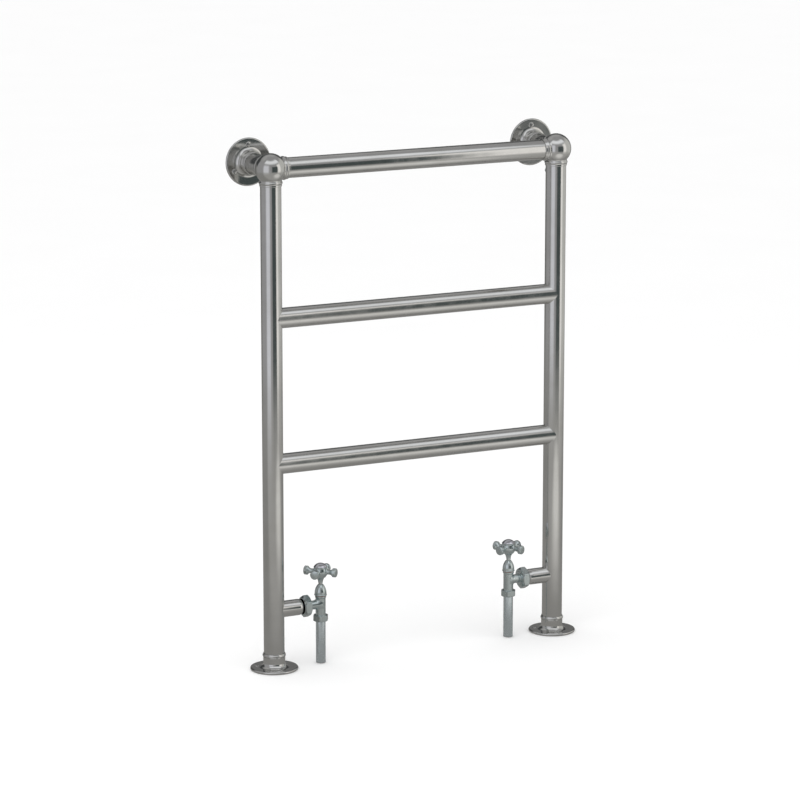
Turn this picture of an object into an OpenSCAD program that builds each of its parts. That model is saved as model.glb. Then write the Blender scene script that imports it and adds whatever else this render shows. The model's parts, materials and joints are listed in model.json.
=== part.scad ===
// Floor-standing ball-jointed towel radiator with an angled crosshead valve on each side.
// Millimetres. X runs along the rails, +Y points to the wall, Z = 0 is the finished floor.

/* [Frame] */
// Distance between the axes of the two posts
post_spacing = 578; // [480:1:900]
// Outer diameter of the posts and wall stays
post_d = 38; // [36:0.5:40]
// Outer diameter of the three rails, a little under the posts so that they cope cleanly
rail_d = 37; // [34:0.5:37.5]
// Wall thickness of posts, rails and stays
tube_wall = 1.5; // [1:0.1:2]
// Height of the top rail and of the ball centres
top_rail_z = 922; // [850:1:1100]
// Height of the middle rail
middle_rail_z = 651; // [560:1:740]
// Height of the lower rail
lower_rail_z = 383; // [300:1:480]
// Distance from the post axes to the wall
wall_reach = 100; // [95:1:160]

/* [Castings] */
// Diameter of the corner balls
ball_d = 56; // [54:1:62]
// Diameter of the round floor and wall flanges
flange_d = 88; // [84:1:100]
// Thickness of a flange at its rim
flange_t = 5; // [4:0.5:6]
// Height of a flange from its flat face to the end of its socket
flange_h = 31; // [29:1:36]
// Diameter over the bead around each socket
bead_d = 42.8; // [42.4:0.2:44]
// Pitch circle of the fixing screws in each flange
screw_pcd = 64; // [63:1:68]
// Number of fixing screws in each flange
screw_count = 3; // [3:1:4]

/* [Valves] */
// Height of the spigots and of the valve outlets
spigot_z = 111; // [100:1:160]
// Outer diameter of the spigots brazed to the posts
spigot_d = 30; // [28:0.5:31]
// Distance from the post axis to the valve spindle axis
valve_reach = 94; // [92:1:110]
// Union nut size across flats
union_af = 36.5; // [35:0.5:38]
// Compression nut size across flats
compression_af = 26; // [25:0.5:27]
// Diameter over the brim of the bell cover
brim_d = 23.6; // [22.5:0.2:26]
// Outer diameter of the pipe sleeves
sleeve_d = 18; // [17.6:0.2:20]
// Rise of the spindle for each turn of the handle
spindle_pitch = 1.5; // [1:0.1:1.5]

/* [Handles] */
// Span of a crosshead handle over opposite arms
handle_span = 64; // [58:1:70]
// Diameter of the round arm ends
arm_end_d = 16.6; // [14:0.2:18]
// Diameter of the handle hub
hub_d = 27.2; // [26:0.2:30]
// Angle of the left handle's arms when the valve is shut
left_handle_angle = 43; // [0:1:89]
// Angle of the right handle's arms when the valve is shut
right_handle_angle = 28; // [0:1:89]

/* [Hidden] */
$fn = 96;
LEFT = -1;
RIGHT = 1;
// Clearances: a brazed or pressed joint, and a running fit
joint_gap = 0.05;
run_gap = 0.05;
// Overshoot that lets a cutter pass clean through a face
over = 1;

post_r = post_d / 2;
rail_r = rail_d / 2;
post_x = post_spacing / 2;
wall_screw_out = 30;
// The box of the whole object is centred on the origin front to back
post_y = (flange_d / 2 - wall_reach - wall_screw_out) / 2;
wall_y = post_y + wall_reach;

// Every tube end starts this far from its ball centre, clear of its neighbours
tube_start = post_r + 0.3;
outlet_reach = 31;
outlet_r = 20.2;
bead_r = 3.75;
bead_centre = bead_d / 2 - bead_r;
ball_bead_at = 24.5;
flange_bead_at = 27;
flare_r = 9;
rim_r = flange_t / 2;
waterway_r = 8;
ball_core_r = 15;
socket_floor = 3;
plug_h = 4;
plug_z = 6;

// Fixing screws: raised countersunk, 5 mm thread and a plain neck under the head
screw_r = 2.5;
screw_neck_r = 2.75;
screw_hole_r = 2.8;
screw_head_r = 4.9;
screw_head_h = 2.6;
screw_dome_h = 1.3;
slot_w = 1.2;
slot_depth = 1.4;
screw_tip = 6;

// Spigot and union, distances from the post axis
spigot_bore_r = 9.3;
shoulder_start = 47;
shoulder_end = 55.7;
shoulder_r = 10.4;
nut_start = 56.2;
nut_end = 71;
nut_bore_r = 9.5;
nut_floor = 62.8;
nut_thread_r = 12.6;
collar_start = 63;
collar_end = 66;
collar_r = 12.2;
seal_end = 68.65;
boss_start = 68.7;
boss_end = 71.6;
boss_r = 12.5;
tail_start = 36;
tail_bore_r = 7;
tail_neck_r = 9.25;
union_chamfer_in = 2.6;
union_chamfer_depth = 3.4;

// Valve heights, measured from the spigot axis
body_r = 9.3;
neck_r = 7.8;
chamber_r = 7.4;
outlet_bore_r = 5.6;
body_top = 16;
rim_h = 2.4;
body_rim_r = 10.4;
seat_z = -7;
seat_r = 4.8;
pipe_stop = -12;
body_end = -25;
compression_r = 9.9;
compression_shoulder = -19.6;
mouth_r = 9;
mouth_depth = 2.5;
compression_top = -20;
compression_end = -32;
compression_lip = 4;
compression_chamfer_in = 2;
compression_chamfer_depth = 2.2;
olive_half_h = 2.2;
olive_belly = 0.9;

// Headgear and bell cover
headgear_bottom = 6;
insert_r = 7.7;
thread_r = 4.5;
web_bottom = 20;
web_top = 21;
packing_top = 24.5;
headgear_top = 27;
headgear_r = 6.2;
gland_chamber_r = 5;
gland_top = 30;
gland_head_af = 10.6;
headgear_flange_r = 10.1;
headgear_flange_top = 19;
brim_bottom = 17;
brim_h = 2.2;
bell_shoulder_r = 10.9;
bell_top = 38;
bell_top_r = 4.6;
bell_wall = 0.8;
bell_curve_r = 26;

// Spindle, jumper and washer
stem_r = 3.75;
jumper_plate_r = 6.3;
washer_h = 2.4;
plate_h = 1.5;
jumper_stem_r = 2;
jumper_stem_top = 4;
spindle_bottom = seat_z + joint_gap + washer_h + plate_h + 2 * joint_gap;
spindle_thread_top = 15;
spindle_square = 5.2;
spindle_top = 64;
turns_open = 3.125;
assert(
    spindle_thread_top + spindle_pitch * turns_open < web_bottom,
    "the raised spindle would meet the headgear"
);

// Handle heights, measured from the spigot axis
skirt_bottom = 40;
skirt_bottom_r = 4.3;
hub_bottom = 51;
arm_z = 61.7;
hub_top = 71;
skirt_curve_r = 14;
skirt_overlap = 1;
cap_seat = 68;
cap_r = 12.4;
cap_stem_r = 10.4;
cap_top = 78;
screw_well_r = 5;
arm_neck_r = 4.3;
arm_flare_r = 9;
arm_flare_at = 17.5;
arm_edge_r = 1.6;
handle_screw_r = 2;
handle_screw_head_r = 4;
handle_screw_head_h = 2.2;

// Feed pipe and sleeve
pipe_r = 7.5;
pipe_wall = 0.7;
pipe_bottom = 1;
sleeve_wall = 0.9;

// Bleed valve behind the right post
bleed_z = 878;
bleed_boss_r = 8;
bleed_boss_reach = 25;
bleed_thread_r = 5;
bleed_bush_af = 13;
bleed_bush_reach = 30;
bleed_screw_r = 2.2;
bleed_square = 5;
bleed_corner_r = 3.3;
bleed_chamfer_depth = 0.42;
bleed_screw_tip = 17;
bleed_screw_reach = 34;

VALVE_NODES = [
    "tailpiece", "union_nut", "union_seal", "valve_body", "headgear", "headgear_seal",
    "gland_packing", "gland_nut", "bell_cover", "spindle", "jumper", "washer", "handle",
    "handle_screw", "handle_cap", "compression_nut", "olive", "feed_pipe", "pipe_sleeve"
];
FRAME_NODES = [
    "left_post", "right_post", "top_rail", "middle_rail", "lower_rail",
    "left_corner_ball", "right_corner_ball", "left_wall_stay", "right_wall_stay",
    "left_wall_flange", "right_wall_flange", "left_floor_flange", "right_floor_flange",
    "wall_screws", "floor_screws", "post_plugs", "left_spigot", "right_spigot",
    "bleed_boss", "bleed_bush", "bleed_screw"
];

NICKEL = [0.70, 0.71, 0.69];
CHROME = [0.62, 0.66, 0.64];
BRASS = [0.78, 0.62, 0.30];
COPPER = [0.75, 0.43, 0.28];
RUBBER = [0.12, 0.12, 0.12];
STEEL = [0.55, 0.56, 0.57];

// ---------- placing ----------

module along_x() { rotate([0, 90, 0]) children(); }

module along_y() { rotate([-90, 0, 0]) children(); }

// Post axis at the origin, with +X pointing inboard on both sides
module at_post(side) {
    translate([side * post_x, post_y, 0]) rotate(side == LEFT ? 0 : 180) children();
}

// Spindle axis at the origin, Z = 0 at the spigot axis, and the post towards -X
module at_valve(side) {
    at_post(side) translate([valve_reach, 0, spigot_z]) children();
}

module at_ball(side) { translate([side * post_x, post_y, top_rail_z]) children(); }

// ---------- shared shapes ----------

module ring(outer_r, inner_r, bottom, top) {
    translate([0, 0, bottom])
        difference() {
            cylinder(r = outer_r, h = top - bottom);
            translate([0, 0, -over]) cylinder(r = inner_r, h = top - bottom + 2 * over);
        }
}

module tube(outer_r, bottom, top) { ring(outer_r, outer_r - tube_wall, bottom, top); }

module hex_prism(across_flats, bottom, top) {
    translate([0, 0, bottom])
        cylinder(d = across_flats / cos(30), h = top - bottom, $fn = 6);
}

// Hexagon whose corners are cut back by a cone at the bottom, the top or both
module chamfered_hex(across_flats, bottom, top, bottom_r, top_r, depth) {
    corner_r = across_flats / 2 / cos(30) + joint_gap;
    intersection() {
        hex_prism(across_flats, bottom, top);
        rotate_extrude()
            polygon([
                [0, bottom], [bottom_r, bottom], [corner_r, bottom + depth],
                [corner_r, top - depth], [top_r, top], [0, top]
            ]);
    }
}

module screw_ring() {
    for (i = [0 : screw_count - 1])
        rotate(90 + i * 360 / screw_count) translate([screw_pcd / 2, 0, 0]) children();
}

// ---------- frame ----------

module post_holes() {
    for (z = [middle_rail_z, lower_rail_z, spigot_z])
        translate([0, 0, z]) along_x() cylinder(r = waterway_r, h = post_d);
}

module post(side) {
    color(NICKEL)
        difference() {
            at_post(side)
                difference() {
                    tube(post_r, socket_floor + joint_gap, top_rail_z - tube_start);
                    post_holes();
                }
            if (side == RIGHT) bleed_drill();
        }
}

module left_post() { post(LEFT); }
module right_post() { post(RIGHT); }

module rail_tube(z, half_length) {
    translate([0, post_y, z]) along_x() tube(rail_r, -half_length, half_length);
}

module top_rail() { color(NICKEL) rail_tube(top_rail_z, post_x - tube_start); }

// Both ends are coped to sit against the posts
module coped_rail(z) {
    color(NICKEL)
        difference() {
            rail_tube(z, post_x);
            for (side = [LEFT, RIGHT])
                translate([side * post_x, post_y, z - post_d])
                    cylinder(r = post_r + joint_gap, h = 2 * post_d);
        }
}

module middle_rail() { coped_rail(middle_rail_z); }
module lower_rail() { coped_rail(lower_rail_z); }

module outlet() {
    rotate_extrude() {
        square([outlet_r, outlet_reach]);
        translate([bead_centre, ball_bead_at]) circle(r = bead_r);
        square([bead_centre, ball_bead_at + bead_r]);
    }
}

module outlet_socket(tube_r) {
    translate([0, 0, tube_start - joint_gap])
        cylinder(r = tube_r + joint_gap, h = outlet_reach);
}

module ball_axis_rail(side) { rotate([0, -90 * side, 0]) children(); }

// Hollow ball casting with sockets for the post, the top rail and the wall stay
module corner_ball(side) {
    color(NICKEL) at_ball(side)
        difference() {
            union() {
                sphere(d = ball_d);
                rotate([180, 0, 0]) outlet();
                ball_axis_rail(side) outlet();
                along_y() outlet();
            }
            rotate([180, 0, 0]) outlet_socket(post_r);
            rotate([180, 0, 0]) cylinder(r = ball_core_r, h = tube_start);
            ball_axis_rail(side) outlet_socket(rail_r);
            ball_axis_rail(side) cylinder(r = ball_core_r, h = tube_start);
            along_y() outlet_socket(post_r);
        }
}

module left_corner_ball() { corner_ball(LEFT); }
module right_corner_ball() { corner_ball(RIGHT); }

module wall_stay(side) {
    color(NICKEL) at_ball(side) along_y()
        tube(post_r, tube_start, wall_reach - socket_floor - joint_gap);
}

module left_wall_stay() { wall_stay(LEFT); }
module right_wall_stay() { wall_stay(RIGHT); }

// Round flange with a concave flare, a beaded socket and countersunk screw holes
module flange() {
    difference() {
        rotate_extrude() {
            square([flange_d / 2 - rim_r, flange_t]);
            translate([flange_d / 2 - rim_r, rim_r]) circle(r = rim_r);
            square([outlet_r, flange_h]);
            difference() {
                square([outlet_r + flare_r, flange_t + flare_r]);
                translate([outlet_r + flare_r, flange_t + flare_r]) circle(r = flare_r);
            }
            translate([bead_centre, flange_bead_at]) circle(r = bead_r);
        }
        translate([0, 0, socket_floor]) cylinder(r = post_r + joint_gap, h = flange_h);
        screw_ring() {
            translate([0, 0, -over]) cylinder(r = screw_hole_r, h = flange_t + 2 * over);
            translate([0, 0, flange_t - screw_head_h])
                cylinder(r1 = screw_hole_r, r2 = screw_head_r + joint_gap, h = screw_head_h);
            translate([0, 0, flange_t]) cylinder(r = screw_head_r + joint_gap, h = flare_r);
        }
    }
}

module wall_flange(side) {
    color(NICKEL) translate([side * post_x, wall_y, top_rail_z])
        rotate([90, 0, 0]) flange();
}

module left_wall_flange() { wall_flange(LEFT); }
module right_wall_flange() { wall_flange(RIGHT); }

module floor_flange(side) { color(NICKEL) at_floor(side) flange(); }

// One floor screw faces the front on both sides
module at_floor(side) { translate([side * post_x, post_y, 0]) rotate(180) children(); }

module left_floor_flange() { floor_flange(LEFT); }
module right_floor_flange() { floor_flange(RIGHT); }

// Raised countersunk slotted screw, with the flange's flat face at Z = 0
module fixing_screw(shank_out) {
    dome_r = (screw_head_r ^ 2 + screw_dome_h ^ 2) / (2 * screw_dome_h);
    difference() {
        union() {
            translate([0, 0, flange_t - screw_head_h])
                cylinder(r1 = screw_neck_r, r2 = screw_head_r, h = screw_head_h);
            translate([0, 0, flange_t])
                intersection() {
                    cylinder(r = screw_head_r, h = screw_dome_h);
                    translate([0, 0, screw_dome_h - dome_r]) sphere(r = dome_r);
                }
            cylinder(r = screw_neck_r, h = flange_t - screw_head_h);
            if (shank_out > 0) {
                translate([0, 0, screw_tip - shank_out])
                    cylinder(r = screw_r, h = shank_out - screw_tip);
                translate([0, 0, -shank_out])
                    cylinder(r1 = joint_gap, r2 = screw_r, h = screw_tip);
            }
        }
        translate([-screw_head_r, -slot_w / 2, flange_t + screw_dome_h - slot_depth])
            cube([2 * screw_head_r, slot_w, slot_depth + over]);
    }
}

module wall_screws() {
    color(STEEL)
        for (side = [LEFT, RIGHT])
            translate([side * post_x, wall_y, top_rail_z]) rotate([90, 0, 0])
                screw_ring() fixing_screw(wall_screw_out);
}

// Cut flush with the floor, so that the radiator stands on its flanges
module floor_screws() {
    color(STEEL)
        for (side = [LEFT, RIGHT])
            at_floor(side) screw_ring() fixing_screw(0);
}

module post_plugs() {
    color(BRASS)
        for (side = [LEFT, RIGHT])
            at_post(side) translate([0, 0, plug_z])
                cylinder(r = post_r - tube_wall - joint_gap, h = plug_h);
}

// Boss on the post, coped to it, with a rounded shoulder and a female thread
module spigot(side) {
    shoulder_run = shoulder_end - shoulder_start;
    shoulder_drop = spigot_d / 2 - shoulder_r;
    color(NICKEL) at_post(side)
        difference() {
            translate([0, 0, spigot_z]) along_x()
                rotate_extrude()
                    difference() {
                        union() {
                            square([spigot_d / 2, shoulder_start]);
                            square([shoulder_r, shoulder_end]);
                            intersection() {
                                translate([0, shoulder_start]) square([spigot_d / 2, shoulder_run]);
                                translate([shoulder_r - (shoulder_run - shoulder_drop), shoulder_start])
                                    circle(r = shoulder_run);
                            }
                        }
                        square([spigot_bore_r, shoulder_end + over]);
                    }
            cylinder(r = post_r + joint_gap, h = 2 * spigot_z);
        }
}

module left_spigot() { spigot(LEFT); }
module right_spigot() { spigot(RIGHT); }

// ---------- bleed valve ----------

module at_bleed() { translate([post_x, post_y, bleed_z]) along_y() children(); }

module bleed_drill() { at_bleed() cylinder(r = bleed_thread_r, h = post_d); }

module bleed_boss() {
    color(NICKEL)
        difference() {
            at_bleed() ring(bleed_boss_r, bleed_thread_r, 0, bleed_boss_reach);
            translate([post_x, post_y, bleed_z - post_d])
                cylinder(r = post_r + joint_gap, h = 2 * post_d);
        }
}

// Hexagon bush that screws into the boss and holds the bleed screw
module bleed_bush() {
    color(CHROME) at_bleed()
        difference() {
            union() {
                cylinder(r = bleed_thread_r - joint_gap, h = bleed_boss_reach + over);
                chamfered_hex(bleed_bush_af, bleed_boss_reach + joint_gap, bleed_bush_reach,
                    bleed_bush_af / 2, bleed_bush_af / 2, bleed_chamfer_depth);
            }
            cylinder(r = bleed_screw_r + run_gap, h = bleed_bush_reach + over);
            translate([0, 0, -over]) cylinder(r = bleed_thread_r, h = bleed_screw_tip - over);
        }
}

// Needle screw with a square head for a radiator key
module bleed_screw() {
    head_bottom = bleed_bush_reach + 6 * joint_gap;
    color(BRASS) at_bleed() {
        translate([0, 0, bleed_screw_tip])
            cylinder(r = bleed_screw_r, h = head_bottom - bleed_screw_tip);
        intersection() {
            translate([-bleed_square / 2, -bleed_square / 2, head_bottom])
                cube([bleed_square, bleed_square, bleed_screw_reach - head_bottom]);
            cylinder(r = bleed_corner_r, h = bleed_screw_reach);
        }
    }
}

// ---------- union, along the spigot axis ----------

module on_union(side) { at_post(side) translate([0, 0, spigot_z]) along_x() children(); }

module tailpiece(side) {
    color(BRASS) on_union(side)
        difference() {
            union() {
                cylinder(r = tail_neck_r, h = collar_end);
                translate([0, 0, collar_start]) cylinder(r = collar_r, h = collar_end - collar_start);
            }
            cylinder(r = tail_bore_r, h = collar_end + over);
            translate([0, 0, -over]) cylinder(r = collar_r, h = tail_start + over);
        }
}

module union_nut(side) {
    color(CHROME) on_union(side)
        difference() {
            chamfered_hex(union_af, nut_start, nut_end, union_af / 2 - union_chamfer_in,
                union_af / 2 - union_chamfer_in, union_chamfer_depth);
            cylinder(r = nut_bore_r, h = nut_end + over);
            translate([0, 0, nut_floor]) cylinder(r = nut_thread_r, h = nut_end);
        }
}

module union_seal(side) {
    color(RUBBER) on_union(side) ring(boss_r - over, tail_bore_r, collar_end + joint_gap, seal_end);
}

// ---------- valve ----------

// Angled body: pipe below, seat in the middle, headgear above and outlet to the side
module valve_body(side) {
    outlet_start = valve_reach - boss_end;
    color(CHROME) at_valve(side)
        difference() {
            union() {
                rotate_extrude() {
                    translate([0, body_end]) square([compression_r, compression_shoulder - body_end]);
                    translate([0, compression_shoulder])
                        square([body_r, body_top - compression_shoulder]);
                    polygon([
                        [body_r, body_top - 2 * rim_h], [body_rim_r, body_top - rim_h],
                        [body_rim_r, body_top], [0, body_top], [0, body_top - 2 * rim_h]
                    ]);
                }
                rotate([0, -90, 0]) {
                    cylinder(r1 = body_r - joint_gap, r2 = neck_r, h = outlet_start);
                    translate([0, 0, outlet_start])
                        cylinder(r = boss_r, h = boss_end - boss_start);
                }
            }
            translate([0, 0, seat_z]) cylinder(r = chamber_r, h = body_top);
            translate([0, 0, headgear_bottom]) cylinder(r = insert_r, h = body_top);
            translate([0, 0, body_end]) cylinder(r = seat_r, h = body_top);
            translate([0, 0, body_end - over])
                cylinder(r = pipe_r + joint_gap, h = pipe_stop - body_end + over);
            translate([0, 0, body_end - joint_gap])
                cylinder(r1 = mouth_r, r2 = pipe_r + joint_gap, h = mouth_depth);
            rotate([0, -90, 0]) cylinder(r = outlet_bore_r, h = valve_reach);
        }
}

// Threaded insert that carries the spindle and the gland
module headgear(side) {
    color(BRASS) at_valve(side)
        difference() {
            union() {
                ring(insert_r - joint_gap, thread_r, headgear_bottom, body_top + over);
                translate([0, 0, body_top + over])
                    cylinder(r = headgear_flange_r, h = headgear_flange_top - body_top - over);
                translate([0, 0, body_top + over])
                    cylinder(r = headgear_r, h = headgear_top - body_top - over);
            }
            translate([0, 0, headgear_bottom - over])
                cylinder(r = thread_r + run_gap, h = web_bottom - headgear_bottom + over);
            cylinder(r = stem_r + run_gap, h = headgear_top + over);
            translate([0, 0, web_top]) cylinder(r = gland_chamber_r, h = headgear_top);
        }
}

module headgear_seal(side) {
    color(RUBBER) at_valve(side)
        ring(body_rim_r - over, insert_r, body_top + joint_gap, body_top + over - joint_gap);
}

module gland_packing(side) {
    color(RUBBER) at_valve(side)
        ring(gland_chamber_r - joint_gap, stem_r + run_gap, web_top + joint_gap, packing_top);
}

module gland_nut(side) {
    color(BRASS) at_valve(side)
        difference() {
            union() {
                translate([0, 0, packing_top + joint_gap])
                    cylinder(r = gland_chamber_r - joint_gap, h = headgear_top - packing_top);
                hex_prism(gland_head_af, headgear_top + joint_gap, gland_top);
            }
            cylinder(r = stem_r + run_gap, h = gland_top + over);
        }
}

// Upper edge of the bell, offset inwards by inset for the inner surface
module bell_profile(inset) {
    foot = brim_bottom + brim_h;
    chord = [bell_shoulder_r - bell_top_r, bell_top - foot];
    half = norm(chord) / 2;
    sag_centre = sqrt(bell_curve_r ^ 2 - half ^ 2);
    middle = [(bell_shoulder_r + bell_top_r) / 2, (foot + bell_top) / 2];
    normal = [chord[1], chord[0]] / norm(chord);
    intersection() {
        translate([0, brim_bottom - inset])
            square([bell_shoulder_r - inset, bell_top - brim_bottom]);
        translate(middle - normal * sag_centre) circle(r = bell_curve_r - inset);
    }
}

module bell_cover(side) {
    color(CHROME) at_valve(side)
        difference() {
            rotate_extrude() {
                bell_profile(0);
                translate([0, brim_bottom]) square([brim_d / 2 - brim_h / 2, brim_h]);
                translate([brim_d / 2 - brim_h / 2, brim_bottom + brim_h / 2]) circle(d = brim_h);
            }
            rotate_extrude() intersection() {
                bell_profile(bell_wall);
                translate([0, headgear_flange_top]) square([brim_d, bell_top]);
            }
            translate([0, 0, brim_bottom - over])
                cylinder(r = headgear_flange_r + joint_gap, h = headgear_flange_top - brim_bottom + over);
            cylinder(r = stem_r + 3 * run_gap, h = bell_top + over);
        }
}

// Threaded spindle with a plain stem and a square end for the handle
module spindle(side) {
    color(CHROME) at_valve(side)
        difference() {
            union() {
                translate([0, 0, spindle_bottom])
                    cylinder(r = thread_r, h = spindle_thread_top - spindle_bottom);
                translate([0, 0, spindle_thread_top])
                    cylinder(r = stem_r, h = hub_bottom - spindle_thread_top);
                rotate(handle_angle(side))
                    translate([-spindle_square / 2, -spindle_square / 2, hub_bottom - over])
                        cube([spindle_square, spindle_square, spindle_top - hub_bottom + over]);
            }
            translate([0, 0, spindle_bottom - over])
                cylinder(r = jumper_stem_r + run_gap, h = jumper_stem_top - spindle_bottom + 2 * over);
            translate([0, 0, hub_bottom]) cylinder(r = handle_screw_r + joint_gap, h = spindle_top);
        }
}

module jumper(side) {
    plate_bottom = seat_z + joint_gap + washer_h;
    color(BRASS) at_valve(side) {
        translate([0, 0, plate_bottom]) cylinder(r = jumper_plate_r, h = plate_h);
        translate([0, 0, seat_z + 2 * joint_gap])
            cylinder(r = jumper_stem_r, h = jumper_stem_top - seat_z);
    }
}

module washer(side) {
    color(RUBBER) at_valve(side)
        ring(jumper_plate_r, jumper_stem_r + joint_gap, seat_z + joint_gap, seat_z + washer_h);
}

// ---------- handle ----------

function handle_angle(side) = side == LEFT ? left_handle_angle : right_handle_angle;

// Arm of round section with a waist and a flared, flat-ended tip
module handle_arm() {
    reach = handle_span / 2;
    end_r = arm_end_d / 2;
    flare_centre = arm_neck_r + arm_flare_r;
    flare_run = sqrt(arm_flare_r ^ 2 - (flare_centre - end_r) ^ 2);
    along_x() rotate_extrude() {
        square([arm_neck_r, reach]);
        difference() {
            translate([0, arm_flare_at]) square([end_r, flare_run]);
            translate([flare_centre, arm_flare_at]) circle(r = arm_flare_r);
        }
        translate([0, arm_flare_at + flare_run])
            square([end_r, reach - arm_edge_r - arm_flare_at - flare_run]);
        translate([end_r - arm_edge_r, reach - arm_edge_r]) circle(r = arm_edge_r);
        square([end_r - arm_edge_r, reach]);
    }
}

// Turned hub: a trumpet skirt below, a round belly and a recess for the cap
module hub() {
    belly_r = hub_d / 2;
    rotate_extrude() {
        translate([0, skirt_bottom]) square([skirt_bottom_r, hub_bottom - skirt_bottom]);
        difference() {
            translate([0, skirt_bottom + over])
                square([belly_r - over, hub_bottom + skirt_overlap - skirt_bottom]);
            translate([skirt_bottom_r + skirt_curve_r, skirt_bottom + over])
                circle(r = skirt_curve_r);
        }
        intersection() {
            translate([0, hub_bottom]) square([belly_r, hub_top - hub_bottom]);
            translate([0, arm_z]) circle(r = belly_r);
        }
        translate([0, arm_z]) square([cap_r, hub_top - arm_z]);
    }
}

module handle(side) {
    color(CHROME) at_valve(side) rotate(handle_angle(side))
        difference() {
            union() {
                hub();
                for (turn = [0 : 90 : 270])
                    translate([0, 0, arm_z]) rotate(turn) handle_arm();
            }
            translate([0, 0, skirt_bottom - over])
                cylinder(r = stem_r + joint_gap, h = hub_bottom - skirt_bottom + over + joint_gap);
            translate([-spindle_square / 2 - joint_gap, -spindle_square / 2 - joint_gap, hub_bottom])
                cube([spindle_square + 2 * joint_gap, spindle_square + 2 * joint_gap, hub_top]);
            translate([0, 0, spindle_top + joint_gap]) cylinder(r = screw_well_r, h = hub_top);
            translate([0, 0, cap_seat]) cylinder(r = cap_stem_r + joint_gap, h = hub_top);
        }
}

module handle_screw(side) {
    color(STEEL) at_valve(side)
        difference() {
            union() {
                translate([0, 0, hub_bottom + over])
                    cylinder(r = handle_screw_r, h = spindle_top - hub_bottom - over);
                translate([0, 0, spindle_top + 2 * joint_gap])
                    cylinder(r = handle_screw_head_r, h = handle_screw_head_h);
                translate([0, 0, spindle_top - over])
                    cylinder(r = handle_screw_r, h = 2 * over);
            }
            translate([-handle_screw_head_r, -slot_w / 2, spindle_top + handle_screw_head_h - over])
                cube([2 * handle_screw_head_r, slot_w, 2 * over]);
        }
}

// Domed cover button pressed into the top of the hub
module handle_cap(side) {
    dome_h = cap_top - hub_top;
    dome_r = (cap_r ^ 2 + dome_h ^ 2) / (2 * dome_h);
    color(CHROME) at_valve(side) {
        translate([0, 0, cap_seat + joint_gap])
            cylinder(r = cap_stem_r, h = hub_top - cap_seat);
        translate([0, 0, hub_top + joint_gap])
            intersection() {
                cylinder(r = cap_r, h = dome_h);
                translate([0, 0, dome_h - dome_r]) sphere(r = dome_r);
            }
    }
}

// ---------- pipe joint ----------

module compression_nut(side) {
    color(CHROME) at_valve(side)
        difference() {
            chamfered_hex(compression_af, compression_end, compression_top,
                compression_af / 2 - compression_chamfer_in, compression_af / 2,
                compression_chamfer_depth);
            translate([0, 0, compression_end - over])
                cylinder(r = pipe_r + 2 * joint_gap, h = compression_lip + 2 * over);
            translate([0, 0, compression_end + compression_lip])
                cylinder(r1 = pipe_r + 2 * joint_gap, r2 = mouth_r, h = 2 * over);
            translate([0, 0, compression_end + compression_lip + 2 * over])
                cylinder(r = compression_r + joint_gap, h = compression_top - compression_end);
        }
}

module olive(side) {
    color(BRASS) at_valve(side) translate([0, 0, body_end])
        rotate_extrude()
            polygon([
                [pipe_r + joint_gap / 2, -olive_half_h], [pipe_r + 2 * joint_gap, -olive_half_h],
                [pipe_r + olive_belly, 0], [pipe_r + 2 * joint_gap, olive_half_h],
                [pipe_r + joint_gap / 2, olive_half_h]
            ]);
}

module feed_pipe(side) {
    color(COPPER) at_valve(side)
        ring(pipe_r, pipe_r - pipe_wall, pipe_bottom - spigot_z, pipe_stop - joint_gap);
}

module pipe_sleeve(side) {
    color(CHROME) at_valve(side)
        ring(sleeve_d / 2, sleeve_d / 2 - sleeve_wall, pipe_bottom - spigot_z,
            compression_end - 6 * joint_gap);
}

// ---------- nodes ----------

left_post();
right_post();
top_rail();
middle_rail();
lower_rail();
left_corner_ball();
right_corner_ball();
left_wall_stay();
right_wall_stay();
left_wall_flange();
right_wall_flange();
left_floor_flange();
right_floor_flange();
wall_screws();
floor_screws();
post_plugs();
left_spigot();
right_spigot();
bleed_boss();
bleed_bush();
bleed_screw();
tailpiece(LEFT);  // left_tailpiece
tailpiece(RIGHT);  // right_tailpiece
union_nut(LEFT);  // left_union_nut
union_nut(RIGHT);  // right_union_nut
union_seal(LEFT);  // left_union_seal
union_seal(RIGHT);  // right_union_seal
valve_body(LEFT);  // left_valve_body
valve_body(RIGHT);  // right_valve_body
headgear(LEFT);  // left_headgear
headgear(RIGHT);  // right_headgear
headgear_seal(LEFT);  // left_headgear_seal
headgear_seal(RIGHT);  // right_headgear_seal
gland_packing(LEFT);  // left_gland_packing
gland_packing(RIGHT);  // right_gland_packing
gland_nut(LEFT);  // left_gland_nut
gland_nut(RIGHT);  // right_gland_nut
bell_cover(LEFT);  // left_bell_cover
bell_cover(RIGHT);  // right_bell_cover
spindle(LEFT);  // left_spindle
spindle(RIGHT);  // right_spindle
jumper(LEFT);  // left_jumper
jumper(RIGHT);  // right_jumper
washer(LEFT);  // left_washer
washer(RIGHT);  // right_washer
handle(LEFT);  // left_handle
handle(RIGHT);  // right_handle
handle_screw(LEFT);  // left_handle_screw
handle_screw(RIGHT);  // right_handle_screw
handle_cap(LEFT);  // left_handle_cap
handle_cap(RIGHT);  // right_handle_cap
compression_nut(LEFT);  // left_compression_nut
compression_nut(RIGHT);  // right_compression_nut
olive(LEFT);  // left_olive
olive(RIGHT);  // right_olive
feed_pipe(LEFT);  // left_feed_pipe
feed_pipe(RIGHT);  // right_feed_pipe
pipe_sleeve(LEFT);  // left_pipe_sleeve
pipe_sleeve(RIGHT);  // right_pipe_sleeve
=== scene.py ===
"""Looks of a towel radiator with two crosshead valves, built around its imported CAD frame."""
import json
import math

import bmesh
import bpy
import numpy as np
from mathutils import Matrix, Vector


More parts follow.
